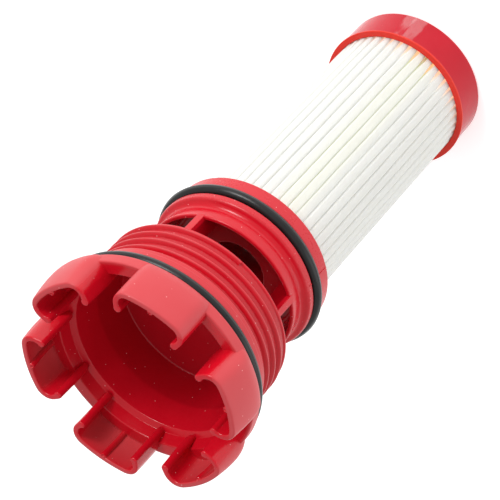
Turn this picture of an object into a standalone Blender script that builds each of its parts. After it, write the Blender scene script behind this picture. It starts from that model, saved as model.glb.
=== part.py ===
"""Cartridge fuel filter: a moulded head with six hollow grip lobes, two O-rings, a pleated
element on a perforated centre tube, and a closed end cap.

The filter stands on its end cap, centred on Z, with the grip lobes at the top. Depths are
measured down from the front of the lobes, because every feature follows from that face.
"""
import bpy
import bmesh
from math import cos, pi, radians, sin, tau
from mathutils import Matrix, Vector

MM = 0.001
LENGTH = 163.5 * MM
GAP = 0.3 * MM              # clearance between pieces that touch
SEGMENTS = 48               # steps round a turned piece

# Grip lobes: six C-shaped channels, open towards the axis and the front.
LOBE_COUNT = 6
LOBE_FIRST_ANGLE = radians(45)
LOBE_HALF_ANGLE = radians(21)
LOBE_TIP_RADIUS = 26.5 * MM
LOBE_WALL = 1.6 * MM
LOBE_SIDE_WALL = 1.8 * MM
LOBE_CORNER = 4.2 * MM
LOBE_SHOULDER = (           # depth and outer radius down the lobe's bell-shaped back
    (0.0 * MM, 34.0 * MM),
    (4.5 * MM, 34.7 * MM),
    (9.0 * MM, 35.2 * MM),
    (11.2 * MM, 35.0 * MM),
    (12.8 * MM, 34.3 * MM),
    (14.2 * MM, 33.0 * MM),
)
LOBE_ROOT_DEPTH = 15.9 * MM
LOBE_ROOT_RADIUS = 28.8 * MM

# Collar flange and the well inside it.
FLANGE_RADIUS = 33.4 * MM
FLANGE_FRONT = 11.0 * MM
FLANGE_BACK = 14.6 * MM
MOUTH_RADIUS = 29.2 * MM
LEDGE_RADIUS = 28.1 * MM
LEDGE_DEPTH = 14.4 * MM
WELL_RADIUS = 26.4 * MM
WELL_RIM_DEPTH = 15.3 * MM
WELL_FLOOR_RADIUS = 23.6 * MM
WELL_FLOOR_DEPTH = 34.1 * MM

# Threaded drum behind the flange.
SEAT_RADIUS = 29.2 * MM
SEAT_END = 18.8 * MM
BAND_RADIUS = 29.8 * MM
BAND_END = 22.9 * MM
THREAD_ROOT = 28.3 * MM
THREAD_CREST = 29.3 * MM
THREAD_PITCH = 3.25 * MM
THREAD_START = 24.6 * MM
THREAD_TURNS = 3.25
THREAD_STEPS_PER_TURN = 36
DRUM_END = 36.1 * MM

# Neck with four windows between four ribs.
RIB_COUNT = 4
RIB_FIRST_ANGLE = radians(45)
RIB_RADIUS = 24.3 * MM
RIB_INNER_RADIUS = 18.0 * MM
RIB_WIDTH = 2.4 * MM
WINDOW_END = 47.5 * MM

# Inner flange that carries the neck O-ring and holds the end of the element.
NECK_RADIUS = 24.0 * MM
RIM_RADIUS = 25.9 * MM
RIM_START = 54.6 * MM
GROOVE_START = 55.9 * MM
GROOVE_END = 60.0 * MM
GROOVE_RADIUS = 23.7 * MM
TAIL_RADIUS = 25.7 * MM
HEAD_END = 64.5 * MM
COLLAR_BORE = 20.6 * MM
WEB_START = 56.5 * MM
WEB_END = 58.5 * MM
OUTLET_RADIUS = 9.6 * MM
CUP_RADIUS = 22.3 * MM

# O-rings.
O_RING_SECTION = 3.2 * MM
HEAD_O_RING_RADIUS = SEAT_RADIUS + GAP + O_RING_SECTION / 2
HEAD_O_RING_DEPTH = FLANGE_BACK + GAP + O_RING_SECTION / 2
NECK_O_RING_RADIUS = GROOVE_RADIUS + GAP + O_RING_SECTION / 2
NECK_O_RING_DEPTH = (GROOVE_START + GROOVE_END) / 2
O_RING_SIDES = 10

# End cap, lip towards the head.
CAP_LIP_DEPTH = 150.9 * MM
CAP_LIP_RADIUS = 23.9 * MM
CAP_LIP_HEIGHT = 0.6 * MM
CAP_RADIUS = 23.5 * MM
CAP_BORE = 22.6 * MM
CAP_FLOOR = 1.8 * MM
CAP_EDGE = 1.0 * MM

# Element: potting at both ends, perforated tube, pleated media and its glued seam.
POTTING_HEIGHT = 3.0 * MM
TUBE_RADIUS = 11.0 * MM
TUBE_WALL = 1.4 * MM
TUBE_SEGMENTS = 24
TUBE_HOLE_COLUMNS = 6
TUBE_HOLE_ROWS = 8
TUBE_HOLE_WIDTH = 5.6 * MM
TUBE_HOLE_HEIGHT = 7.5 * MM
TUBE_HOLE_PITCH = 11.2 * MM
PLEAT_COUNT = 44
PLEAT_OUTER = 21.8 * MM
PLEAT_INNER = 11.7 * MM
PAPER = 0.5 * MM
PLEAT_TIP = 0.62            # share of the outer pitch that a pleat's crest covers
PLEAT_ROOT = 0.7            # share of the inner pitch that a pleat's root covers
SEAM_ANGLE = radians(-87)
SEAM_INNER = 13.4 * MM
SEAM_OUTER = 20.6 * MM
SEAM_THICKNESS = 0.5 * MM


def height(depth):
    """Height above the base of a point at this depth below the lobes' front."""
    return LENGTH - depth


def clear_scene():
    for obj in list(bpy.data.objects):
        bpy.data.objects.remove(obj, do_unlink=True)


def material(name, color, roughness, metallic=0.0):
    mat = bpy.data.materials.new(name)
    mat.use_nodes = True
    shader = mat.node_tree.nodes["Principled BSDF"]
    shader.inputs["Base Color"].default_value = (*color, 1.0)
    shader.inputs["Roughness"].default_value = roughness
    shader.inputs["Metallic"].default_value = metallic
    mat.diffuse_color = (*color, 1.0)
    return mat


def add_object(name, bm, mat=None, smooth=True):
    """Turn a bmesh into a named object, with its faces pointing out."""
    bmesh.ops.remove_doubles(bm, verts=bm.verts, dist=1e-7)
    bmesh.ops.recalc_face_normals(bm, faces=bm.faces)
    mesh = bpy.data.meshes.new(name)
    bm.to_mesh(mesh)
    bm.free()
    obj = bpy.data.objects.new(name, mesh)
    bpy.context.collection.objects.link(obj)
    if mat:
        mesh.materials.append(mat)
    if smooth:
        mesh.shade_smooth()
        mesh.set_sharp_from_angle(angle=radians(35))
    return obj


def as_tool(obj):
    """A tool shape is only there for the Boolean that uses it."""
    obj.hide_render = True
    obj.display_type = 'WIRE'
    return obj


def combine(obj, tool, operation):
    modifier = obj.modifiers.new(operation.title() + " " + tool.name, 'BOOLEAN')
    modifier.operation = operation
    modifier.solver = 'EXACT'
    modifier.object = as_tool(tool)


def turned_mesh(profile, segments=SEGMENTS):
    """Spin a closed outline of (radius, depth) points about Z."""
    bm = bmesh.new()
    verts = [bm.verts.new((radius, 0.0, height(depth))) for radius, depth in profile]
    edges = []
    for index, vert in enumerate(verts):
        follower = verts[(index + 1) % len(verts)]
        if vert.co.x > 0.0 or follower.co.x > 0.0:
            edges.append(bm.edges.new((vert, follower)))
    bmesh.ops.spin(bm, geom=verts + edges, cent=(0, 0, 0), axis=(0, 0, 1), dvec=(0, 0, 0),
                   angle=tau, steps=segments, use_merge=True, use_duplicate=False)
    bmesh.ops.remove_doubles(bm, verts=bm.verts, dist=1e-7)
    return bm


def arc(center_radius, center_depth, radius, start, end, steps):
    """Points of an arc in the (radius, depth) plane, angles in degrees."""
    points = []
    for step in range(steps + 1):
        angle = radians(start + (end - start) * step / steps)
        points.append((center_radius + radius * cos(angle), center_depth + radius * sin(angle)))
    return points


def polar(radius, angle, depth):
    return Vector((radius * cos(angle), radius * sin(angle), height(depth)))


def box_mesh(bm, size, matrix):
    bmesh.ops.create_cube(bm, size=1.0, matrix=matrix @ Matrix.Diagonal((*size, 1.0)))


def drum_profile():
    """Flange, well, seat of the head O-ring, plain band and thread root."""
    return [
        (0.0, WELL_FLOOR_DEPTH),
        (WELL_FLOOR_RADIUS - 1.0 * MM, WELL_FLOOR_DEPTH),
        (WELL_FLOOR_RADIUS, WELL_FLOOR_DEPTH - 1.0 * MM),
        (WELL_RADIUS, WELL_RIM_DEPTH + 0.4 * MM),
        (WELL_RADIUS + 0.4 * MM, WELL_RIM_DEPTH),
        (LEDGE_RADIUS, LEDGE_DEPTH),
        (MOUTH_RADIUS, FLANGE_FRONT),
        (FLANGE_RADIUS - 0.3 * MM, FLANGE_FRONT),
        (FLANGE_RADIUS, FLANGE_FRONT + 0.3 * MM),
        (FLANGE_RADIUS, FLANGE_BACK - 0.5 * MM),
        (FLANGE_RADIUS - 0.5 * MM, FLANGE_BACK),
        (SEAT_RADIUS, FLANGE_BACK),
        (SEAT_RADIUS, SEAT_END),
        (BAND_RADIUS, SEAT_END),
        (BAND_RADIUS, BAND_END - 0.4 * MM),
        (THREAD_ROOT, BAND_END + 0.4 * MM),
        (THREAD_ROOT, DRUM_END - 0.4 * MM),
        (THREAD_ROOT - 0.4 * MM, DRUM_END),
        (0.0, DRUM_END),
    ]


def collar_profile():
    """Neck ring, rim, O-ring groove, tail band and the cup that holds the element."""
    flare = arc(NECK_RADIUS + 1.9 * MM, WINDOW_END + 4.0 * MM, 2.1 * MM, 205, 110, 5)
    return [
        (COLLAR_BORE, WINDOW_END),
        (NECK_RADIUS + 0.3 * MM, WINDOW_END),
        *flare,
        (RIM_RADIUS, RIM_START),
        (RIM_RADIUS, GROOVE_START),
        (GROOVE_RADIUS, GROOVE_START),
        (GROOVE_RADIUS, GROOVE_END),
        (TAIL_RADIUS, GROOVE_END),
        (TAIL_RADIUS, HEAD_END - 0.4 * MM),
        (TAIL_RADIUS - 0.4 * MM, HEAD_END),
        (CUP_RADIUS, HEAD_END),
        (CUP_RADIUS, WEB_END),
        (OUTLET_RADIUS, WEB_END),
        (OUTLET_RADIUS, WEB_START),
        (COLLAR_BORE, WEB_START),
    ]


def lobe_outline(outer, inner, center):
    """One lobe's C-shaped section as (radius, angle) points, outer corners rounded."""
    half = LOBE_HALF_ANGLE
    side = LOBE_SIDE_WALL
    corner_steps = 2
    arc_steps = 4
    fillet = min(LOBE_CORNER, outer - LOBE_TIP_RADIUS)
    bend = fillet - LOBE_WALL if fillet > LOBE_WALL else 0.3 * MM
    right = [(LOBE_TIP_RADIUS, -half)]
    for step in range(corner_steps + 1):
        turn = pi / 2 * step / corner_steps
        radius = outer - fillet + fillet * sin(turn)
        right.append((radius, -half + fillet * (1 - cos(turn)) / outer))
    sweep = right[-1][1]
    crown = [(outer, sweep + (-2 * sweep) * step / arc_steps) for step in range(1, arc_steps)]
    outside = right + crown + [(radius, -angle) for radius, angle in reversed(right)]
    inside = [(LOBE_TIP_RADIUS, half - side / LOBE_TIP_RADIUS)]
    for step in range(corner_steps + 1):
        turn = pi / 2 * step / corner_steps
        radius = inner - bend + bend * sin(turn)
        inside.append((radius, half - side / inner - bend * (1 - cos(turn)) / inner))
    sweep = inside[-1][1]
    floor = [(inner, sweep - 2 * sweep * step / arc_steps) for step in range(1, arc_steps)]
    inside = inside + floor + [(radius, -angle) for radius, angle in reversed(inside)]
    return [(radius, center + angle) for radius, angle in outside + inside]


def lobes_mesh():
    """Six lobes, each a stack of its C-shaped sections."""
    levels = [(depth, outer) for depth, outer in LOBE_SHOULDER]
    levels += [(LOBE_SHOULDER[-1][0] + 0.1 * MM, LOBE_ROOT_RADIUS)]
    levels += [(LOBE_ROOT_DEPTH, LOBE_ROOT_RADIUS)]
    bm = bmesh.new()
    for number in range(LOBE_COUNT):
        center = LOBE_FIRST_ANGLE + number * tau / LOBE_COUNT
        loops = []
        for depth, outer in levels:
            wall = LOBE_WALL if outer > LOBE_ROOT_RADIUS else 1.0 * MM
            outline = lobe_outline(outer, outer - wall, center)
            loops.append([bm.verts.new(polar(radius, angle, depth)) for radius, angle in outline])
        for upper, lower in zip(loops, loops[1:]):
            for index in range(len(upper)):
                after = (index + 1) % len(upper)
                bm.faces.new((upper[index], upper[after], lower[after], lower[index]))
        bm.faces.new(loops[0])
        bm.faces.new(loops[-1])
    return bm


def thread_mesh():
    """Right-hand thread ridge, its foot sunk into the drum."""
    foot = THREAD_ROOT - 0.6 * MM
    section = [(foot, -1.1 * MM), (THREAD_ROOT, -0.8 * MM), (THREAD_CREST, -0.35 * MM),
               (THREAD_CREST, 0.35 * MM), (THREAD_ROOT, 0.8 * MM), (foot, 1.1 * MM)]
    bm = bmesh.new()
    verts = [bm.verts.new(polar(radius, 0.0, THREAD_START + shift)) for radius, shift in section]
    face = bm.faces.new(verts)
    steps = round(THREAD_TURNS * THREAD_STEPS_PER_TURN)
    bmesh.ops.spin(bm, geom=[face], cent=(0, 0, 0), axis=(0, 0, -1),
                   dvec=(0, 0, -THREAD_PITCH / THREAD_STEPS_PER_TURN),
                   angle=tau * THREAD_TURNS, steps=steps, use_duplicate=False)
    return bm


def ribs_mesh():
    """Four upright ribs that tie the drum to the inner flange."""
    bm = bmesh.new()
    depth = (DRUM_END + WINDOW_END) / 2
    size = (RIB_RADIUS - RIB_INNER_RADIUS, RIB_WIDTH, WINDOW_END - DRUM_END + 1.6 * MM)
    for number in range(RIB_COUNT):
        angle = RIB_FIRST_ANGLE + number * tau / RIB_COUNT
        place = Matrix.Translation(polar((RIB_RADIUS + RIB_INNER_RADIUS) / 2, angle, depth))
        box_mesh(bm, size, place @ Matrix.Rotation(angle, 4, 'Z'))
    return bm


def make_head(mat):
    head = add_object("head", turned_mesh(drum_profile()), mat)
    combine(head, add_object("lobe_tool", lobes_mesh()), 'UNION')
    combine(head, add_object("thread_tool", thread_mesh()), 'UNION')
    combine(head, add_object("rib_tool", ribs_mesh()), 'UNION')
    combine(head, add_object("collar_tool", turned_mesh(collar_profile())), 'UNION')
    return head


def make_o_ring(name, radius, depth, mat):
    section = arc(radius, depth, O_RING_SECTION / 2, 0, 360, O_RING_SIDES)[:-1]
    return add_object(name, turned_mesh(section), mat)


def make_end_cap(mat):
    body_top = CAP_LIP_DEPTH + CAP_LIP_HEIGHT
    profile = [
        (CAP_BORE, CAP_LIP_DEPTH),
        (CAP_LIP_RADIUS - 0.2 * MM, CAP_LIP_DEPTH),
        (CAP_LIP_RADIUS, CAP_LIP_DEPTH + 0.2 * MM),
        (CAP_LIP_RADIUS, body_top),
        (CAP_RADIUS, body_top + 0.3 * MM),
        *arc(CAP_RADIUS - CAP_EDGE, LENGTH - CAP_EDGE, CAP_EDGE, 0, 90, 4),
        (0.0, LENGTH),
        (0.0, LENGTH - CAP_FLOOR),
        (CAP_BORE, LENGTH - CAP_FLOOR),
    ]
    return add_object("end_cap", turned_mesh(profile), mat)


def make_ring(name, inner, outer, top, bottom, mat, segments=SEGMENTS):
    """A plain ring between two depths; an inner radius of zero gives a disc."""
    profile = [(inner, top), (outer, top), (outer, bottom), (inner, bottom)]
    return add_object(name, turned_mesh(profile, segments), mat)


def make_centre_tube(top, bottom, mat):
    """Tube with rows of oblong holes, which let the filtered fuel into its bore."""
    tube = make_ring("centre_tube", TUBE_RADIUS - TUBE_WALL, TUBE_RADIUS, top, bottom, mat,
                     TUBE_SEGMENTS)
    bm = bmesh.new()
    middle = (top + bottom) / 2
    size = (4 * TUBE_WALL, TUBE_HOLE_WIDTH, TUBE_HOLE_HEIGHT)
    for row in range(TUBE_HOLE_ROWS):
        depth = middle + (row - (TUBE_HOLE_ROWS - 1) / 2) * TUBE_HOLE_PITCH
        for column in range(TUBE_HOLE_COLUMNS):
            angle = column * tau / TUBE_HOLE_COLUMNS
            place = Matrix.Translation(polar(TUBE_RADIUS - TUBE_WALL / 2, angle, depth))
            box_mesh(bm, size, place @ Matrix.Rotation(angle, 4, 'Z'))
    combine(tube, add_object("tube_hole_tool", bm), 'DIFFERENCE')
    return tube


def pleat_outline():
    """The folded sheet's section: its outer face one way, its inner face back."""
    pitch = tau / PLEAT_COUNT
    outer = []
    inner = []
    tip = PLEAT_TIP * pitch / 2
    root = PLEAT_ROOT * pitch / 2
    paper_at_tip = PAPER / PLEAT_OUTER
    paper_at_root = PAPER / PLEAT_INNER
    for number in range(PLEAT_COUNT):
        center = SEAM_ANGLE + (number + 0.5) * pitch
        edge = pitch / 2 - root
        outer.append((PLEAT_INNER + PAPER, center - edge - paper_at_root / 2))
        outer.append((PLEAT_OUTER, center - tip))
        outer.append((PLEAT_OUTER, center + tip))
        outer.append((PLEAT_INNER + PAPER, center + edge + paper_at_root / 2))
        inner.append((PLEAT_INNER, center - edge + paper_at_root / 2))
        inner.append((PLEAT_OUTER - PAPER, center - tip + paper_at_tip))
        inner.append((PLEAT_OUTER - PAPER, center + tip - paper_at_tip))
        inner.append((PLEAT_INNER, center + edge - paper_at_root / 2))
    return outer, inner


def make_media(top, bottom, mat):
    """The pleated sheet, closed all round except at its seam."""
    outer, inner = pleat_outline()
    bm = bmesh.new()
    faces = []
    for depth in (top, bottom):
        outside = [bm.verts.new(polar(radius, angle, depth)) for radius, angle in outer]
        inside = [bm.verts.new(polar(radius, angle, depth)) for radius, angle in inner]
        faces.append((outside, inside))
    for upper, lower in zip(faces[0], faces[1]):
        for index in range(len(upper) - 1):
            bm.faces.new((upper[index], upper[index + 1], lower[index + 1], lower[index]))
    for outside, inside in faces:
        for index in range(len(outside) - 1):
            bm.faces.new((outside[index], outside[index + 1], inside[index + 1], inside[index]))
    for end in (0, -1):
        (upper_out, upper_in), (lower_out, lower_in) = faces
        bm.faces.new((upper_out[end], upper_in[end], lower_in[end], lower_out[end]))
    return add_object("pleated_media", bm, mat, smooth=False)


def make_seam(top, bottom, mat):
    """Strip of adhesive between the sheet's two end leaves."""
    bm = bmesh.new()
    size = (SEAM_OUTER - SEAM_INNER, SEAM_THICKNESS, bottom - top)
    place = Matrix.Translation(polar((SEAM_INNER + SEAM_OUTER) / 2, SEAM_ANGLE, (top + bottom) / 2))
    box_mesh(bm, size, place @ Matrix.Rotation(SEAM_ANGLE, 4, 'Z'))
    return add_object("seam_adhesive", bm, mat, smooth=False)


def main():
    clear_scene()
    red_satin = material("red_satin_plastic", (0.62, 0.03, 0.035), 0.42)
    red_gloss = material("red_gloss_plastic", (0.68, 0.02, 0.025), 0.12)
    rubber = material("black_rubber", (0.02, 0.02, 0.02), 0.5)
    paper = material("filter_media", (0.88, 0.88, 0.84), 0.9)
    core = material("core_plastic", (0.75, 0.75, 0.72), 0.5)
    potting = material("potting", (0.72, 0.62, 0.42), 0.45)
    adhesive = material("seam_adhesive", (0.72, 0.72, 0.45), 0.4)

    upper_potting_top = WEB_END + GAP
    upper_potting_bottom = upper_potting_top + POTTING_HEIGHT
    lower_potting_bottom = LENGTH - CAP_FLOOR - GAP
    lower_potting_top = lower_potting_bottom - POTTING_HEIGHT
    element_top = upper_potting_bottom + GAP
    element_bottom = lower_potting_top - GAP

    make_head(red_satin)
    make_o_ring("head_o_ring", HEAD_O_RING_RADIUS, HEAD_O_RING_DEPTH, rubber)
    make_o_ring("neck_o_ring", NECK_O_RING_RADIUS, NECK_O_RING_DEPTH, rubber)
    make_ring("upper_potting", TUBE_RADIUS + GAP, CUP_RADIUS - GAP,
              upper_potting_top, upper_potting_bottom, potting)
    make_centre_tube(WEB_END + GAP, element_bottom, core)
    make_media(element_top, element_bottom, paper)
    make_seam(element_top + GAP, element_bottom - GAP, adhesive)
    make_ring("lower_potting", 0.0, CAP_BORE - GAP, lower_potting_top, lower_potting_bottom, potting)
    make_end_cap(red_gloss)


main()
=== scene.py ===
"""Looks of a cartridge fuel filter: a moulded red head with six hollow grip lobes, two O-rings, a pleated
sheet with its glued seam, and a glossy end cap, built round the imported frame.

The filter stands on its end cap along Z. Depths are measured down from the front of the lobes, and radii
from the axis. A corner in an outline is (radius, depth, rounding).
"""
from math import cos, pi, radians, sin, tan, tau

import bmesh
import bpy
from mathutils import Matrix, Quaternion, Vector


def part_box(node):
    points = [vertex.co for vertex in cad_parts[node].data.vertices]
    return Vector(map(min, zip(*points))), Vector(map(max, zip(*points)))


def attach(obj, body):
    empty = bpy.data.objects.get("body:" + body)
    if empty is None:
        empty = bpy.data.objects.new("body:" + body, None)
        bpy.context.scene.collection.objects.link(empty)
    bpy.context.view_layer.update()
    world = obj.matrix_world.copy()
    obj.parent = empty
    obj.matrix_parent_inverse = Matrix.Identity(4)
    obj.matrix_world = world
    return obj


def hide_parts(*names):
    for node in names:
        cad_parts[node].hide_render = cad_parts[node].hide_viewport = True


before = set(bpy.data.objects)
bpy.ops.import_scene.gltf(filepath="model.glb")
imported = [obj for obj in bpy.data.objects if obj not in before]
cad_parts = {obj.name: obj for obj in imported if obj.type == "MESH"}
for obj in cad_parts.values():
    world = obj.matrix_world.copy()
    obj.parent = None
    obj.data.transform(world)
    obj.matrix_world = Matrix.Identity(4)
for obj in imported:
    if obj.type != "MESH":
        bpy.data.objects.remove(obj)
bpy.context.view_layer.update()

MM = 0.001
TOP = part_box("head")[1].z
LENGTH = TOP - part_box("end_cap")[0].z
SMALL = 0.01 * MM           # closer than this is the same place
TURN_STEPS = 144
CORNER_STEPS = 4

# Camera: a long lens, above and in front of the head, rolled far over.
LENS = 153.9
CAMERA_AIM = Vector((0.6, 0.0, 98.3)) * MM
CAMERA_DISTANCE = 612.4 * MM
CAMERA_ELEVATION = radians(40.405)
CAMERA_ROLL = radians(-137.11)

# Head: the drum with its well, flange, O-ring seat and plain band.
WELL_FLOOR = 34.1 * MM
FLANGE_FRONT = 11.0 * MM
FLANGE_BACK = 14.6 * MM
FLANGE_RADIUS = 33.4 * MM
SEAT_RADIUS = 29.2 * MM
BAND_RADIUS = 29.8 * MM
DRUM_END = 36.1 * MM
DRUM = (
    (0.0, WELL_FLOOR, 0.0),
    (23.6 * MM, WELL_FLOOR, 0.5 * MM),
    (26.4 * MM, 15.35 * MM, 0.45 * MM),
    (28.1 * MM, 14.4 * MM, 0.3 * MM),
    (29.2 * MM, FLANGE_FRONT, 0.4 * MM),
    (FLANGE_RADIUS, FLANGE_FRONT, 0.5 * MM),
    (FLANGE_RADIUS, FLANGE_BACK, 0.6 * MM),
    (SEAT_RADIUS, FLANGE_BACK, 0.2 * MM),
    (SEAT_RADIUS, 18.8 * MM, 0.15 * MM),
    (BAND_RADIUS, 18.8 * MM, 0.35 * MM),
    (BAND_RADIUS, 21.5 * MM, 0.1 * MM),
    (29.65 * MM, 21.7 * MM, 0.1 * MM),
    (29.65 * MM, 22.9 * MM, 0.4 * MM),
    (28.3 * MM, 23.5 * MM, 0.5 * MM),
    (28.3 * MM, 35.0 * MM, 0.4 * MM),
    (28.7 * MM, 35.45 * MM, 0.2 * MM),
    (28.7 * MM, DRUM_END, 0.3 * MM),
    (0.0, DRUM_END, 0.0),
)

# Thread: one right-hand ridge that ends on the drum's lower edge.
THREAD_ROOT = 28.3 * MM
THREAD_CREST = 29.3 * MM
THREAD_PITCH = 3.25 * MM
THREAD_START = 24.6 * MM
THREAD_TURNS = 3.25
THREAD_RIDGE = (            # radius, height on the ridge, rounding
    (THREAD_ROOT - 0.7 * MM, -0.88 * MM, 0.0),
    (THREAD_ROOT - 0.1 * MM, -0.88 * MM, 0.4 * MM),
    (THREAD_CREST, -0.2 * MM, 0.19 * MM),
    (THREAD_CREST, 0.2 * MM, 0.19 * MM),
    (THREAD_ROOT - 0.1 * MM, 0.88 * MM, 0.4 * MM),
    (THREAD_ROOT - 0.7 * MM, 0.88 * MM, 0.0),
)

# Grip lobes: C-shaped walls, open towards the axis and the front.
LOBE_COUNT = 6
LOBE_FIRST_ANGLE = radians(45)
LOBE_HALF_ANGLE = radians(21)
LOBE_TIP = 26.5 * MM
LOBE_FRONT_RADIUS = 33.95 * MM
LOBE_BULGE_RADIUS = 35.1 * MM
LOBE_BULGE_DEPTH = 9.0 * MM
LOBE_END_DEPTH = 14.2 * MM
LOBE_END_RADIUS = 32.7 * MM
LOBE_WALL = 1.7 * MM
LOBE_CORNER = 3.5 * MM      # at the middle of the wall
LOBE_EDGE = 0.5 * MM        # rounding of the front edges
LOBE_BEAD = 1.15 * MM       # each wall ends in a bead that swells into the lobe
LOBE_BEAD_SWEEP = pi + radians(58)
PIN_RADIUS = 0.95 * MM      # half-round rib inside each lobe's outer wall
DIMPLE_RADIUS = 0.55 * MM
DIMPLE_INSET = 0.13 * MM    # from the wall's inner face, towards the axis
DIMPLE_LIFT = 0.07 * MM     # of its centre, above the lobes' front

# Ribs, neck with its O-ring groove, web, and the sleeve that runs down inside the centre tube.
RIB_COUNT = 4
RIB_FIRST_ANGLE = radians(45)
RIB_WIDTH = 2.4 * MM
RIB_EDGE = 0.22 * MM
RIB_INNER = 18.0 * MM
RIB_UPPER = (24.2 * MM, 35.3 * MM, 48.6 * MM)       # outer radius, depths
RIB_LOWER = (23.1 * MM, 48.0 * MM, 57.3 * MM)
COLLAR = (
    (22.9 * MM, 47.5 * MM, 0.45 * MM),
    (24.2 * MM, 47.5 * MM, 0.5 * MM),
    (23.45 * MM, 52.9 * MM, 1.7 * MM),
    (25.9 * MM, 53.7 * MM, 0.9 * MM),
    (25.9 * MM, 55.9 * MM, 0.25 * MM),
    (23.7 * MM, 55.9 * MM, 0.2 * MM),
    (23.7 * MM, 60.0 * MM, 0.2 * MM),
    (25.7 * MM, 60.0 * MM, 0.3 * MM),
    (25.7 * MM, 64.5 * MM, 0.45 * MM),
    (22.3 * MM, 64.5 * MM, 0.3 * MM),
    (22.3 * MM, 58.5 * MM, 0.2 * MM),
    (9.5 * MM, 58.5 * MM, 0.2 * MM),
    (9.5 * MM, 84.0 * MM, 0.2 * MM),
    (8.9 * MM, 84.0 * MM, 0.2 * MM),
    (8.9 * MM, 56.5 * MM, 0.5 * MM),
    (20.6 * MM, 56.5 * MM, 1.6 * MM),
)

# Parting marks: outer radius, depths.
PARTING_RIM = (26.02 * MM, 54.6 * MM, 55.8 * MM)
PARTING_TAIL = (25.82 * MM, 60.1 * MM, 64.1 * MM)
PARTING_SUNK = 0.6 * MM
PARTING_WIDTH = 0.24 * MM

# O-rings.
O_RING_SECTION = 3.2 * MM
FLASH_HEIGHT = 0.05 * MM
FLASH_ANGLE = radians(5)

# End cap.
CAP_LIP_DEPTH = 150.9 * MM
CAP_RADIUS = 23.5 * MM
CAP_BORE = 21.95 * MM
CAP = (
    (0.0, LENGTH - 1.8 * MM, 0.0),
    (CAP_BORE, LENGTH - 1.8 * MM, 0.5 * MM),
    (CAP_BORE, CAP_LIP_DEPTH, 0.2 * MM),
    (23.9 * MM, CAP_LIP_DEPTH, 0.25 * MM),
    (23.9 * MM, CAP_LIP_DEPTH + 0.6 * MM, 0.2 * MM),
    (CAP_RADIUS, CAP_LIP_DEPTH + 1.0 * MM, 0.3 * MM),
    (CAP_RADIUS, LENGTH, 0.9 * MM),
    (0.0, LENGTH, 0.0),
)

GLOSS_STREAKS = (           # azimuth and half width of the glossiest bands, which stay on the cap
    (radians(-66), radians(4.5)),
    (radians(-57), radians(3.0)),
)

# Pleated sheet.
PLEATS = 44
PAPER = 0.5 * MM
CREST_RADIUS = 21.8 * MM - PAPER / 2
ROOT_RADIUS = 11.7 * MM + PAPER / 2
CREST_HALF_WIDTH = 1.27 * MM
CREST_ROUNDING = 0.5 * MM
LOWER_PINCH = (0.45, 18 * MM)       # share of a crest's width left at the end, and how far it reaches
UPPER_PINCH = (0.85, 7 * MM)
ROOT_INSET = 0.28 * MM
ROOT_ROUNDING = 0.22 * MM
LEAF_START = ROOT_RADIUS + 2 * MM   # only what lies outside this is pinched
SHEET_ROWS = 30
SHEET_RUFFLE = 0.42 * MM
RUFFLE_SIZE = 2.6 * MM
RUFFLE_STRETCH = 7
RUFFLE_SHIFT = (40 * MM, 25 * MM, 0)
SEAM_ANGLE = radians(-87)

# Set adhesive in the seam.
GLUE_INNER = 13.2 * MM
GLUE_OUTER = 21.1 * MM
GLUE_THICKNESS = 0.32 * MM
GLUE_ROUNDING = 0.12 * MM
GLUE_SHORTER = 0.6 * MM     # than the sheet
GLUE_CUTS = 40
GLUE_RUFFLE = 0.45 * MM

# Where a finish, a tint or a painted light or shade changes: from one radius, depth, height or distance to
# another.
CORE_SHADE = (22.4 * MM, 23.2 * MM)
FIRST_RIDGE = (24.5 * MM, 23 * MM)
LOBE_SHEEN_AND_RUB = (31.8 * MM, 33.6 * MM)
RIM_SHEEN_AND_RUB = (24.8 * MM, 25.7 * MM)
SEAM_TINT = (2.2 * MM, 5.5 * MM)
VALLEY_DEPTH = (20.4 * MM, 21.7 * MM)
CAP_GLOW = (8 * MM, 19 * MM)

# Studio: the air's strength, and each softbox's direction, distance, size and power.
AIR_STRENGTH = 0.68
FLOOR_SIZE = 6.0
SOFTBOXES = (
    ((0.707, -0.550, 0.434), 0.9, 0.45, 3.6),
    ((0.707, -0.550, 0.434), 0.85, 0.12, 1.3),
    ((-0.85, -0.45, 0.12), 0.9, 0.6, 1.6),
)


# ---------------------------------------------------------------- modelling by hand

def select_nothing():
    """Leave edit mode with nothing selected, so that the next operator acts on its own piece alone."""
    if bpy.context.mode != 'OBJECT':
        bpy.ops.object.mode_set(mode='OBJECT')
    bpy.ops.object.select_all(action='DESELECT')


def take(obj):
    """Make one piece the only selected one."""
    select_nothing()
    obj.select_set(True)
    bpy.context.view_layer.objects.active = obj


def edit_all():
    """Enter edit mode on vertices, with the whole mesh selected."""
    bpy.ops.object.mode_set(mode='EDIT')
    bpy.ops.mesh.select_mode(type='VERT')
    bpy.ops.mesh.select_all(action='SELECT')


def at(radius, depth):
    """A point of the XZ plane."""
    return Vector((radius, 0.0, TOP - depth))


def round_off(corners, closed):
    """Points of a flat outline whose corners (x, y, rounding) are replaced by arcs."""
    points = []
    for index, (x, y, rounding) in enumerate(corners):
        corner = Vector((x, y))
        is_end = not closed and index in (0, len(corners) - 1)
        if is_end or rounding == 0.0:
            points.append(corner)
            continue
        back = (Vector(corners[index - 1][:2]) - corner).normalized()
        ahead = (Vector(corners[(index + 1) % len(corners)][:2]) - corner).normalized()
        half = back.angle(ahead) / 2
        center = corner + (back + ahead).normalized() * rounding / sin(half)
        reach = rounding / tan(half)
        first = (corner + back * reach - center).normalized()
        last = (corner + ahead * reach - center).normalized()
        for step in range(CORNER_STEPS + 1):
            points.append(center + first.slerp(last, step / CORNER_STEPS) * rounding)
    return points


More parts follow.
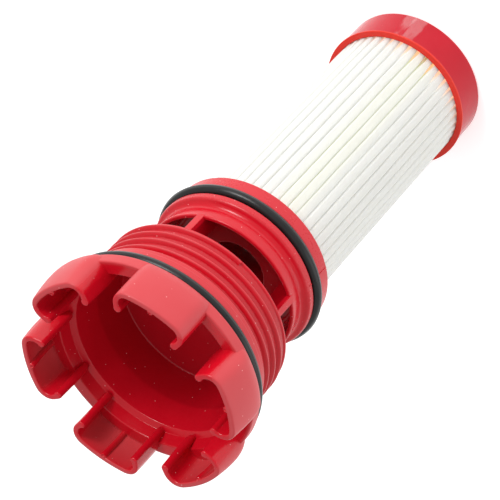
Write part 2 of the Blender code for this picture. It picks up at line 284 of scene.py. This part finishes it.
def draw(name, points, closed=True, fill=False):
    """A new piece in edit mode, one vertex extruded from point to point."""
    select_nothing()
    bpy.ops.mesh.primitive_plane_add(size=MM, location=(0, 0, 0))
    piece = bpy.context.object
    piece.name = name
    piece.data.name = name
    edit_all()
    bpy.ops.mesh.merge(type='CENTER')
    bpy.ops.transform.translate(value=points[0])
    for here, there in zip(points, points[1:]):
        bpy.ops.mesh.extrude_vertices_move(TRANSFORM_OT_translate={"value": there - here})
    bpy.ops.mesh.select_all(action='SELECT')
    if closed or fill:
        bpy.ops.mesh.edge_face_add()
    if closed and not fill:
        bpy.ops.mesh.delete(type='ONLY_FACE')
        bpy.ops.mesh.select_all(action='SELECT')
    return piece


def tidy_mesh():
    """Merge what meets and turn the faces outwards, then leave edit mode."""
    bpy.ops.mesh.select_all(action='SELECT')
    bpy.ops.mesh.remove_doubles(threshold=SMALL / 5)
    bpy.ops.mesh.normals_make_consistent(inside=False)
    bpy.ops.object.mode_set(mode='OBJECT')


def turned(name, corners, closed):
    """A piece spun once round the axis from its outline."""
    points = [at(radius, depth) for radius, depth in round_off(corners, closed)]
    piece = draw(name, points, closed)
    bpy.ops.mesh.spin(steps=TURN_STEPS, angle=tau, center=(0, 0, 0), axis=(0, 0, 1))
    tidy_mesh()
    return piece


def pick(test, mode='VERT'):
    """In edit mode, select only what passes the test on its place and normal."""
    bpy.ops.mesh.select_mode(type=mode)
    bpy.ops.mesh.select_all(action='DESELECT')
    mesh = bmesh.from_edit_mesh(bpy.context.object.data)
    for element in {'VERT': mesh.verts, 'FACE': mesh.faces}[mode]:
        place = element.co if mode == 'VERT' else element.calc_center_median()
        element.select_set(test(place, element.normal))
    mesh.select_flush_mode()
    bmesh.update_edit_mesh(bpy.context.object.data)


def turn_by(angle):
    """Turn the selected part of a mesh about the axis, anticlockwise from above."""
    bpy.ops.transform.rotate(value=-angle, orient_axis='Z', center_override=(0, 0, 0))


def repeat_round(count):
    """Copy the selected mesh so that there are this many, evenly spaced round the axis."""
    bpy.ops.mesh.select_all(action='SELECT')
    bpy.ops.mesh.spin(steps=count - 1, angle=tau * (count - 1) / count, dupli=True,
                      center=(0, 0, 0), axis=(0, 0, 1))


def apply_modifier(piece, kind, **settings):
    take(piece)
    bpy.ops.object.modifier_add(type=kind)
    modifier = piece.modifiers[-1]
    for name, value in settings.items():
        setattr(modifier, name, value)
    bpy.ops.object.modifier_apply(modifier=modifier.name)


def combine(piece, tool, operation):
    """A Boolean that uses up its tool."""
    apply_modifier(piece, 'BOOLEAN', operation=operation, solver='EXACT', object=tool)
    bpy.data.objects.remove(tool)


def smooth(piece, angle=32):
    take(piece)
    bpy.ops.object.shade_smooth_by_angle(angle=radians(angle))


# ---------------------------------------------------------------- the head

def lobe_outline():
    """One lobe's C shape in plan, pointing along +X: both sides of its wall, ending in round beads."""
    half_wall = LOBE_WALL / 2
    middle = LOBE_FRONT_RADIUS - half_wall
    side = LOBE_HALF_ANGLE - half_wall / middle
    start = LOBE_TIP + LOBE_BEAD
    corner_angle = LOBE_CORNER / (middle - LOBE_CORNER)
    turn_center = Vector((cos(side), sin(side))) * (middle - LOBE_CORNER)
    turn_center -= Vector((-sin(side), cos(side))) * LOBE_CORNER
    path = [Vector((cos(side), sin(side))) * start]
    steps = 8
    for step in range(steps + 1):
        heading = side + pi / 2 - (pi / 2 + corner_angle / 2) * step / steps
        path.append(turn_center + Vector((cos(heading), sin(heading))) * LOBE_CORNER)
    crown = path[-1].angle(Vector((1, 0)))
    crown_steps = 8
    for step in range(1, crown_steps):
        angle = crown * (1 - step / crown_steps)
        path.append(Vector((cos(angle), sin(angle))) * path[steps + 1].length)
    path.append(Vector((path[steps + 1].length, 0.0)))
    outer = []
    inner = []
    for index, point in enumerate(path):
        before = path[max(index - 1, 0)]
        after = path[min(index + 1, len(path) - 1)]
        along = (after - before).normalized()
        if index == len(path) - 1:
            along = Vector((0, -1))
        across = Vector((-along.y, along.x))
        outer.append(point + across * half_wall)
        inner.append(point - across * half_wall)
    outward = (outer[0] - path[0]).normalized()
    bead = path[0] - outward * (LOBE_BEAD - half_wall)
    bead_steps = 10
    cap = []
    for step in range(1, bead_steps + 1):
        turn = Matrix.Rotation(LOBE_BEAD_SWEEP * step / bead_steps, 2)
        cap.append(bead + turn @ outward * LOBE_BEAD)
    pin = Vector((inner[-1].x, 0.0))
    pin_side = []
    for step in range(4):
        angle = pi / 2 * step / 3
        pin_side.append(pin + Vector((-sin(angle), cos(angle))) * PIN_RADIUS)
    inner = [point for point in inner[1:-1] if point.y > PIN_RADIUS + 0.1 * MM] + pin_side
    upper = list(reversed(outer)) + cap + inner
    lower = [Vector((point.x, -point.y)) for point in reversed(upper[1:-1])]
    return upper + lower


def lobe_levels():
    """Depth and outer radius down a lobe: a slow flare, then a round shoulder."""
    flare_steps = 5
    shoulder_steps = 6
    levels = []
    for step in range(flare_steps + 1):
        share = step / flare_steps
        swell = sin(share * pi / 2)
        levels.append((LOBE_BULGE_DEPTH * share,
                       LOBE_FRONT_RADIUS + (LOBE_BULGE_RADIUS - LOBE_FRONT_RADIUS) * swell))
    for step in range(1, shoulder_steps + 1):
        angle = pi / 2 * step / shoulder_steps
        levels.append((LOBE_BULGE_DEPTH + (LOBE_END_DEPTH - LOBE_BULGE_DEPTH) * sin(angle),
                       LOBE_END_RADIUS + (LOBE_BULGE_RADIUS - LOBE_END_RADIUS) * cos(angle)))
    return levels


def make_lobes():
    """One lobe drawn, extruded down its bell-shaped back and rounded in front, then six of them."""
    outline = [Vector((point.x, point.y, TOP)) for point in lobe_outline()]
    lobes = draw("grip_lobes", outline, fill=True)
    bpy.ops.mesh.select_mode(type='FACE')
    levels = lobe_levels()
    for (depth, radius), (next_depth, next_radius) in zip(levels, levels[1:]):
        bpy.ops.mesh.extrude_region_move(
            TRANSFORM_OT_translate={"value": (0, 0, depth - next_depth)})
        stretch = (next_radius - LOBE_TIP) / (radius - LOBE_TIP)
        bpy.ops.transform.resize(value=(stretch, 1, 1), center_override=(LOBE_TIP, 0, 0))
    pick(lambda place, normal: place.z > TOP - SMALL, 'FACE')
    bpy.ops.mesh.region_to_loop()
    bpy.ops.mesh.bevel(offset=LOBE_EDGE, segments=3, affect='EDGES')
    bpy.ops.mesh.select_mode(type='VERT')
    bpy.ops.mesh.select_all(action='SELECT')
    turn_by(LOBE_FIRST_ANGLE)
    repeat_round(LOBE_COUNT)
    tidy_mesh()
    return lobes


def make_dimples():
    """Small round tools that leave a dimple at the head of each lobe's inner rib."""
    select_nothing()
    radius = LOBE_FRONT_RADIUS - LOBE_WALL - DIMPLE_INSET
    bpy.ops.mesh.primitive_uv_sphere_add(segments=14, ring_count=9, radius=DIMPLE_RADIUS,
                                         location=(radius, 0, TOP + DIMPLE_LIFT))
    dimples = bpy.context.object
    bpy.ops.object.transform_apply(location=True)
    edit_all()
    turn_by(LOBE_FIRST_ANGLE)
    repeat_round(LOBE_COUNT)
    tidy_mesh()
    return dimples


def make_thread():
    """The ridge's section, wound up the drum by a Screw modifier."""
    low_end = THREAD_START + THREAD_TURNS * THREAD_PITCH
    points = [at(x, low_end - y) for x, y in round_off(THREAD_RIDGE, closed=True)]
    thread = draw("thread", points)
    turn_by(-tau * (THREAD_TURNS % 1))
    bpy.ops.object.mode_set(mode='OBJECT')
    steps = round(THREAD_TURNS * TURN_STEPS)
    apply_modifier(thread, 'SCREW', angle=tau * THREAD_TURNS, steps=steps, render_steps=steps,
                   screw_offset=THREAD_TURNS * THREAD_PITCH, use_merge_vertices=False)
    edit_all()
    bpy.ops.mesh.select_all(action='DESELECT')
    bpy.ops.mesh.select_non_manifold()
    bpy.ops.mesh.fill_holes(sides=0)
    tidy_mesh()
    return thread


def make_ribs(outer, upper, lower):
    """Four upright ribs with eased edges."""
    select_nothing()
    bpy.ops.mesh.primitive_cube_add(size=1, location=at((RIB_INNER + outer) / 2, (upper + lower) / 2),
                                    scale=(outer - RIB_INNER, RIB_WIDTH, lower - upper))
    ribs = bpy.context.object
    bpy.ops.object.transform_apply(location=True, scale=True)
    edit_all()
    bpy.ops.mesh.bevel(offset=RIB_EDGE, segments=2, affect='EDGES')
    bpy.ops.mesh.select_all(action='SELECT')
    turn_by(RIB_FIRST_ANGLE)
    repeat_round(RIB_COUNT)
    tidy_mesh()
    return ribs


def make_parting_marks(outer, upper, lower):
    """The fine ridge that the two halves of the mould leave, on both sides of the head."""
    select_nothing()
    bpy.ops.mesh.primitive_cube_add(size=1, location=at(outer - PARTING_SUNK / 2, (upper + lower) / 2),
                                    scale=(PARTING_SUNK, PARTING_WIDTH, lower - upper))
    marks = bpy.context.object
    bpy.ops.object.transform_apply(location=True, scale=True)
    edit_all()
    turn_by(RIB_FIRST_ANGLE)
    repeat_round(2)
    tidy_mesh()
    return marks


def make_head():
    head = turned("head_moulding", DRUM, closed=False)
    combine(head, make_thread(), 'UNION')
    combine(head, make_lobes(), 'UNION')
    combine(head, make_dimples(), 'DIFFERENCE')
    combine(head, make_ribs(*RIB_UPPER), 'UNION')
    combine(head, turned("collar", COLLAR, closed=True), 'UNION')
    combine(head, make_ribs(*RIB_LOWER), 'UNION')
    combine(head, make_parting_marks(*PARTING_RIM), 'UNION')
    combine(head, make_parting_marks(*PARTING_TAIL), 'UNION')
    smooth(head)
    apply_modifier(head, 'WEIGHTED_NORMAL', keep_sharp=True)
    return head


# ---------------------------------------------------------------- rings, cap and element

def make_o_ring(name, node):
    """An O-ring with the faint flash line that its mould leaves on its outer and inner edge."""
    low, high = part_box(node)
    radius = high.x - O_RING_SECTION / 2
    depth = TOP - (low.z + high.z) / 2
    steps = 14
    section = []
    for facing in (0.0, pi):
        for flash in (-1, 0, 1):
            reach = O_RING_SECTION / 2 + (FLASH_HEIGHT if flash == 0 else 0.0)
            angle = facing + flash * FLASH_ANGLE
            section.append((radius + reach * cos(angle), depth + reach * sin(angle), 0.0))
        for step in range(1, steps):
            angle = facing + FLASH_ANGLE + (pi - 2 * FLASH_ANGLE) * step / steps
            section.append((radius + O_RING_SECTION / 2 * cos(angle),
                            depth + O_RING_SECTION / 2 * sin(angle), 0.0))
    ring = turned(name, section, closed=True)
    smooth(ring, 60)
    return ring


def make_cap():
    cap = turned("glossy_end_cap", CAP, closed=False)
    smooth(cap)
    apply_modifier(cap, 'WEIGHTED_NORMAL', keep_sharp=True)
    return cap


def pleat_line():
    """The sheet's middle line over one pleat, pointing along +X, from root to root."""
    half_pitch = pi / PLEATS
    root = Vector((cos(half_pitch), sin(half_pitch))) * ROOT_RADIUS
    corners = [
        (root.x, root.y, 0.0),
        (root.x, root.y - ROOT_INSET, ROOT_ROUNDING),
        (CREST_RADIUS, CREST_HALF_WIDTH, CREST_ROUNDING),
        (CREST_RADIUS, -CREST_HALF_WIDTH, CREST_ROUNDING),
        (root.x, ROOT_INSET - root.y, ROOT_ROUNDING),
        (root.x, -root.y, 0.0),
    ]
    return round_off(corners, closed=False)


def make_sheet():
    """One pleat drawn and pulled up, narrower at both ends, then all of them, made uneven and thick."""
    low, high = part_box("pleated_media")
    sheet = draw("pleated_sheet", [Vector((x, y, low.z)) for x, y in pleat_line()], closed=False)
    spacing = (high.z - low.z) / SHEET_ROWS

    def eased(from_end, share, reach):
        ease = min(from_end / reach, 1.0)
        return share + (1 - share) * (3 * ease ** 2 - 2 * ease ** 3)

    def width_share(z):
        return eased(z - low.z, *LOWER_PINCH) * eased(high.z - z, *UPPER_PINCH)

    pick(lambda place, normal: place.x > LEAF_START)
    bpy.ops.transform.resize(value=(1, width_share(low.z), 1), center_override=(0, 0, 0))
    bpy.ops.mesh.select_all(action='SELECT')
    for row in range(SHEET_ROWS):
        height = low.z + spacing * row
        bpy.ops.mesh.extrude_region_move(TRANSFORM_OT_translate={"value": (0, 0, spacing)})
        reach = height + spacing / 2
        pick(lambda place, normal: place.z > reach and place.x > LEAF_START)
        stretch = width_share(height + spacing) / width_share(height)
        bpy.ops.transform.resize(value=(1, stretch, 1), center_override=(0, 0, 0))
        pick(lambda place, normal: place.z > reach)
    bpy.ops.mesh.select_all(action='SELECT')
    turn_by(SEAM_ANGLE + pi / PLEATS)
    repeat_round(PLEATS)
    tidy_mesh()
    ruffle(sheet, SHEET_RUFFLE)
    apply_modifier(sheet, 'SOLIDIFY', thickness=PAPER, offset=0, use_even_offset=True)
    take(sheet)
    edit_all()
    tidy_mesh()
    smooth(sheet, 50)
    return sheet


def ruffle(piece, strength):
    """Uneven pleats: a soft noise, long along the axis, that shifts the mesh sideways."""
    select_nothing()
    bpy.ops.object.empty_add(location=(0, 0, 0))
    guide = bpy.context.object
    guide.scale = (1, 1, RUFFLE_STRETCH)
    clouds = bpy.data.textures.new("uneven_folding", 'CLOUDS')
    clouds.noise_scale = RUFFLE_SIZE
    clouds.cloud_type = 'COLOR'
    clouds.noise_depth = 1
    bpy.context.view_layer.update()
    for direction in ('X', 'Y'):
        apply_modifier(piece, 'DISPLACE', texture=clouds, texture_coords='OBJECT',
                       texture_coords_object=guide, direction=direction, strength=strength,
                       mid_level=0.5)
        guide.location = RUFFLE_SHIFT
        bpy.context.view_layer.update()
    bpy.data.objects.remove(guide)


def make_glue_line():
    """The set adhesive between the sheet's two end leaves, with an uneven outer bead."""
    low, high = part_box("pleated_media")
    select_nothing()
    bpy.ops.mesh.primitive_cube_add(size=1, location=((GLUE_INNER + GLUE_OUTER) / 2, 0, (low.z + high.z) / 2),
                                    scale=(GLUE_OUTER - GLUE_INNER, GLUE_THICKNESS,
                                           high.z - low.z - GLUE_SHORTER))
    glue = bpy.context.object
    glue.name = "glue_line"
    glue.data.name = "glue_line"
    bpy.ops.object.transform_apply(location=True, scale=True)
    edit_all()
    bpy.ops.mesh.bevel(offset=GLUE_ROUNDING, segments=3, affect='EDGES')
    bpy.ops.mesh.select_all(action='SELECT')
    for number in range(1, GLUE_CUTS):
        height = low.z + (high.z - low.z) * number / GLUE_CUTS
        bpy.ops.mesh.select_all(action='SELECT')
        bpy.ops.mesh.bisect(plane_co=(0, 0, height), plane_no=(0, 0, 1))
    bpy.ops.mesh.select_all(action='SELECT')
    turn_by(SEAM_ANGLE)
    tidy_mesh()
    ruffle(glue, GLUE_RUFFLE)
    smooth(glue, 40)
    return glue


# ---------------------------------------------------------------- materials

class Wire:
    """A shader value that Python's arithmetic works on: each sign adds one Math node."""

    def __init__(self, finish, socket):
        self.finish = finish
        self.socket = socket

    def math(self, operation, first, second=0.0):
        return self.finish.node('ShaderNodeMath', {0: first, 1: second}, operation=operation)

    def __add__(self, other):
        return self.math('ADD', self, other)

    __radd__ = __add__

    def __sub__(self, other):
        return self.math('SUBTRACT', self, other)

    def __rsub__(self, other):
        return self.math('SUBTRACT', other, self)

    def __mul__(self, other):
        return self.math('MULTIPLY', self, other)

    __rmul__ = __mul__

    def also(self, name):
        """Another output of the node that this value comes from."""
        return Wire(self.finish, self.socket.node.outputs[name])


class Finish:
    """One procedural material on a Principled shader."""

    def __init__(self, name, roughness, metallic=0.0, **constants):
        self.material = bpy.data.materials.new(name)
        self.material.use_nodes = True
        self.tree = self.material.node_tree
        self.shader = self.tree.nodes["Principled BSDF"]
        self.set("Roughness", roughness)
        self.set("Metallic", metallic)
        for key, value in constants.items():
            self.set(key.replace("_", " ").title().replace("Ior", "IOR"), value)
        self.place = self.node('ShaderNodeTexCoord', output="Object")

    def feed(self, socket, value):
        if isinstance(value, Wire):
            self.tree.links.new(value.socket, socket)
        else:
            socket.default_value = value

    def set(self, socket, value):
        self.feed(self.shader.inputs[socket], value)

    def node(self, kind, inputs=None, output=0, **settings):
        """A node's output, once its settings are made and its inputs are given or linked."""
        made = self.tree.nodes.new(kind)
        for key, value in settings.items():
            setattr(made, key, value)
        for key, value in (inputs or {}).items():
            self.feed(made.inputs[key], value)
        return Wire(self, made.outputs[output])

    def noise(self, size, detail=2.0, roughness=0.5, stretch=(1, 1, 1)):
        """Soft noise from 0 to 1 whose lumps are about this size."""
        spot = self.node('ShaderNodeMapping', {"Vector": self.place, "Scale": stretch})
        return self.node('ShaderNodeTexNoise', {"Vector": spot, "Scale": 1 / size,
                                                "Detail": detail, "Roughness": roughness})

    def between(self, value, low, high):
        """0 below low, 1 above high, smooth in between."""
        return self.node('ShaderNodeMapRange', {"Value": value, "From Min": low, "From Max": high},
                         interpolation_type='SMOOTHSTEP')

    def mix(self, share, first, second):
        return self.node('ShaderNodeMix', {0: share, 6: first, 7: second}, output=2,
                         data_type='RGBA')

    def axes(self):
        """The place's three coordinates."""
        x = self.node('ShaderNodeSeparateXYZ', {0: self.place}, output="X")
        return x, x.also("Y"), x.also("Z")

    def radius(self):
        x, y, _ = self.axes()
        return self.node('ShaderNodeMath', {0: x * x + y * y}, operation='SQRT')

    def relief(self, height, depth, strength=1.0):
        """Bump from a height of 0 to 1."""
        return self.node('ShaderNodeBump', {"Height": height, "Distance": depth,
                                            "Strength": strength})

    def specks(self, size, spacing, rarity):
        """Sparse round specks, 1 inside."""
        distance = self.node('ShaderNodeTexVoronoi', {"Vector": self.place, "Scale": 1 / spacing},
                             output="Distance")
        chance = self.node('ShaderNodeSeparateColor', {0: distance.also("Color")})
        inside = 1 - self.between(distance, size / spacing * 0.5, size / spacing)
        return inside * self.between(chance, rarity, rarity + 0.01)


def tone(red, green, blue):
    return (red, green, blue, 1.0)


def satin_red(name):
    """Moulded red plastic: glossier inside, with painted shade in the neck's inside and the thread valleys,
    and a painted pale sheen on the lobes' outsides, the rim and the crests, which are also rougher.
    """
    finish = Finish(name, 0.42, specular_ior_level=0.34)
    cloud = finish.noise(9 * MM, 3.0)
    fine = finish.noise(0.9 * MM, 3.0)
    colour = finish.mix(cloud, tone(0.50, 0.001, 0.009), tone(0.58, 0.003, 0.015))
    colour = finish.mix(fine * 0.4, colour, tone(0.58, 0.014, 0.026))
    z = finish.axes()[2]
    radius = finish.radius()
    below_drum = 1 - finish.between(z, TOP - DRUM_END - 1 * MM, TOP - DRUM_END)
    above_flange = finish.between(z, TOP - FLANGE_BACK - 2 * MM, TOP - FLANGE_BACK)
    # Painted shade: the inside of the neck below the drum and the thread's valleys are mixed towards a dark
    # red.
    painted_core_shade = (1 - finish.between(radius, *CORE_SHADE)) * below_drum
    painted_valley_shade = (1 - finish.between(radius, THREAD_ROOT, THREAD_ROOT + 0.55 * MM)) * (1 - below_drum)
    painted_valley_shade = painted_valley_shade * (1 - finish.between(z, TOP - FIRST_RIDGE[0], TOP - FIRST_RIDGE[1]))
    colour = finish.mix(painted_core_shade * 0.75 + painted_valley_shade * 0.3, colour, tone(0.22, 0.0, 0.003))
    # Painted sheen: a paler, pinker colour on the lobes' outsides, the rim and the thread crests. The same
    # mask also makes these places rougher, like rubbed plastic.
    sheen_and_rub_mask = finish.between(radius, *LOBE_SHEEN_AND_RUB) * above_flange
    sheen_and_rub_mask = sheen_and_rub_mask + finish.between(radius, *RIM_SHEEN_AND_RUB) * below_drum * 0.3
    crest = finish.between(radius, THREAD_CREST - 0.45 * MM, THREAD_CREST - 0.1 * MM)
    sheen_and_rub_mask = sheen_and_rub_mask + crest * (1 - above_flange) * 0.5
    sheen_and_rub = sheen_and_rub_mask * (0.6 + 0.4 * cloud)
    colour = finish.mix(sheen_and_rub, colour, tone(0.54, 0.058, 0.066))
    dust = finish.specks(0.15 * MM, 1.7 * MM, 0.62)
    colour = finish.mix(dust * 0.6, colour, tone(1.0, 0.72, 0.70))
    finish.set("Base Color", colour)
    finish.set("Roughness", 0.12 + 0.10 * cloud + 0.06 * fine + 0.28 * sheen_and_rub)
    grain = finish.noise(0.22 * MM, 2.0)
    waves = finish.noise(4 * MM, 1.0)
    finish.set("Normal", finish.relief(grain * 0.3 + waves, 0.05 * MM, 0.6))
    return finish.material


def gloss_red():
    """Polished red plastic with fixed bands of extra gloss, faint flow waves and hairline rubs."""
    finish = Finish("gloss_red_plastic", 0.1, specular_ior_level=0.2, coat_roughness=0.04,
                    coat_ior=2.1)
    cloud = finish.noise(14 * MM, 2.0)
    colour = finish.mix(cloud, tone(0.43, 0.002, 0.013), tone(0.52, 0.007, 0.021))
    x, y, z = finish.axes()
    lip = finish.between(z, LENGTH - CAP_LIP_DEPTH - 1.4 * MM, LENGTH - CAP_LIP_DEPTH - 0.9 * MM)
    colour = finish.mix(lip, colour, tone(0.68, 0.034, 0.022))
    wavy = finish.noise(5 * MM, 2.0, stretch=(1, 1, 0.4)) * 0.5 * MM
    gloss = 0.0
    for angle, half_width in GLOSS_STREAKS:
        along = x * cos(angle) + y * sin(angle) + wavy
        edge = CAP_RADIUS * cos(half_width) + 0.25 * MM
        gloss = gloss + finish.between(along, edge - 0.05 * MM, edge + 0.02 * MM)
    finish.set("Coat Weight", gloss * 0.8 * (1 - lip))
    dust = finish.specks(0.09 * MM, 3.0 * MM, 0.85)
    colour = finish.mix(dust * 0.4, colour, tone(0.95, 0.62, 0.60))
    finish.set("Base Color", colour)
    rubs = finish.noise(0.5 * MM, 2.0, stretch=(1, 1, 0.08))
    finish.set("Roughness", 0.08 + 0.08 * rubs)
    waves = finish.noise(7 * MM, 1.0, stretch=(1, 1, 0.25))
    finish.set("Normal", finish.relief(waves, 0.12 * MM, 0.5))
    return finish.material


def black_rubber():
    """Nitrile rubber: near black, with a greyish bloom and fine pitting."""
    finish = Finish("nitrile_rubber", 0.45, specular_ior_level=0.32)
    bloom = finish.noise(5 * MM, 4.0)
    fine = finish.noise(0.35 * MM, 3.0)
    finish.set("Base Color", finish.mix(bloom, tone(0.006, 0.006, 0.006), tone(0.018, 0.018, 0.019)))
    finish.set("Roughness", 0.16 + 0.2 * bloom + 0.08 * fine)
    finish.set("Normal", finish.relief(fine, 0.04 * MM, 0.5))
    return finish.material


def filter_paper():
    """Off-white non-woven sheet: fibrous, cream by the seam, warmer where the cap's red shines in.

    A little emission stands in for the light that passes through the thin folds.
    """
    finish = Finish("filter_paper", 0.85, specular_ior_level=0.2, subsurface_weight=0.5,
                    subsurface_radius=(1.0, 0.95, 0.85), subsurface_scale=1.5 * MM,
                    emission_strength=0.6)
    x, y, z = finish.axes()
    fibres = finish.noise(0.45 * MM, 4.0, 0.65, stretch=(1, 1, 0.35))
    streaks = finish.noise(1.6 * MM, 2.0, stretch=(1, 1, 0.03))
    colour = finish.mix(fibres, tone(0.62, 0.62, 0.60), tone(0.69, 0.69, 0.665))
    colour = finish.mix(streaks * 0.3, colour, tone(0.60, 0.61, 0.57))
    across = x * -sin(SEAM_ANGLE) + y * cos(SEAM_ANGLE)
    outward = x * cos(SEAM_ANGLE) + y * sin(SEAM_ANGLE)
    aside = finish.node('ShaderNodeMath', {0: across}, operation='ABSOLUTE')
    near = (1 - finish.between(aside, *SEAM_TINT)) * finish.between(outward, 0.0, 2 * MM)
    deep = 1 - finish.between(finish.radius(), *VALLEY_DEPTH)
    colour = finish.mix(near * 0.5, colour, tone(0.70, 0.70, 0.62))
    # Darker olive in the folds' valleys beside the seam: partly the glue's colour, partly painted shade in
    # the folds.
    colour = finish.mix(near * deep * 0.8, colour, tone(0.46, 0.49, 0.28))
    low = 1 - finish.between(z, *CAP_GLOW)
    colour = finish.mix(low * deep * 0.8, colour, tone(0.80, 0.48, 0.30))
    finish.set("Base Color", colour)
    finish.set("Emission Color", finish.mix(deep, tone(0.0, 0.0, 0.0), colour))
    finish.set("Normal", finish.relief(fibres, 0.06 * MM, 0.5))
    return finish.material


def set_glue(name, first, second):
    """Cast or dispensed adhesive with a slightly uneven gloss."""
    finish = Finish(name, 0.35, coat_weight=0.2)
    cloud = finish.noise(2.5 * MM, 3.0)
    finish.set("Base Color", finish.mix(cloud, tone(*first), tone(*second)))
    finish.set("Roughness", 0.25 + 0.25 * cloud)
    finish.set("Normal", finish.relief(cloud, 0.1 * MM, 0.5))
    return finish.material


def studio_paper():
    """Pale seamless paper that glows a little."""
    finish = Finish("studio_paper", 0.9, specular_ior_level=0.1, emission_strength=0.5,
                    emission_color=tone(1.0, 1.0, 1.0))
    cloud = finish.noise(120 * MM, 2.0)
    finish.set("Base Color", finish.mix(cloud, tone(0.84, 0.84, 0.84), tone(0.86, 0.86, 0.86)))
    return finish.material


def dress(piece, material):
    """Give a piece one material."""
    piece.data.materials.clear()
    piece.data.materials.append(material)


# ---------------------------------------------------------------- studio

def add_camera():
    away = Vector((0.0, -cos(CAMERA_ELEVATION), sin(CAMERA_ELEVATION)))
    bpy.ops.object.camera_add(location=CAMERA_AIM + away * CAMERA_DISTANCE)
    camera = bpy.context.object
    camera.rotation_mode = 'QUATERNION'
    level = (-away).to_track_quat('-Z', 'Y')
    camera.rotation_quaternion = level @ Quaternion((0, 0, 1), CAMERA_ROLL)
    camera.data.lens = LENS
    bpy.context.scene.camera = camera


def add_softbox(direction, distance, size, power):
    """A square soft light that faces the filter's middle."""
    toward = Vector(direction).normalized()
    bpy.ops.object.light_add(type='AREA', location=CAMERA_AIM + toward * distance)
    light = bpy.context.object
    light.rotation_mode = 'QUATERNION'
    light.rotation_quaternion = toward.to_track_quat('Z', 'Y')
    light.data.size = size
    light.data.energy = power


def add_studio():
    select_nothing()
    bpy.ops.mesh.primitive_plane_add(size=FLOOR_SIZE, location=(0, 0, 0))
    floor = bpy.context.object
    floor.name = "studio_floor"
    dress(floor, studio_paper())
    world = bpy.data.worlds.new("studio_air")
    world.use_nodes = True
    air = world.node_tree.nodes["Background"]
    air.inputs["Color"].default_value = tone(1.0, 1.0, 1.0)
    air.inputs["Strength"].default_value = AIR_STRENGTH
    bpy.context.scene.world = world
    bpy.context.scene.view_settings.view_transform = 'Standard'
    for direction, distance, size, power in SOFTBOXES:
        add_softbox(direction, distance, size, power)


# ---------------------------------------------------------------- assembly

def place(piece, slot, *nodes):
    """A finished piece rides on the one body and stands for its CAD nodes."""
    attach(piece, "root")
    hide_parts(*nodes)


def main():
    add_camera()
    add_studio()

    red = satin_red("head_red_plastic")
    rubber = black_rubber()

    head = make_head()
    dress(head, red)
    place(head, "head_plastic", "head")

    for name, node in (("head_seal", "head_o_ring"), ("neck_seal", "neck_o_ring")):
        ring = make_o_ring(name, node)
        dress(ring, rubber)
        place(ring, "o_ring_rubber", node)

    cap = make_cap()
    dress(cap, gloss_red())
    place(cap, "end_cap_plastic", "end_cap")

    sheet = make_sheet()
    dress(sheet, filter_paper())
    place(sheet, "filter_media", "pleated_media")

    glue = make_glue_line()
    dress(glue, set_glue("seam_glue", (0.68, 0.71, 0.42), (0.80, 0.82, 0.58)))
    place(glue, "seam_glue", "seam_adhesive")

    potting = set_glue("potting_resin", (0.66, 0.54, 0.34), (0.78, 0.68, 0.48))
    for node in ("upper_potting", "lower_potting"):
        dress(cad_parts[node], potting)
    dress(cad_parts["centre_tube"], satin_red("core_red_plastic"))


main()
select_nothing()
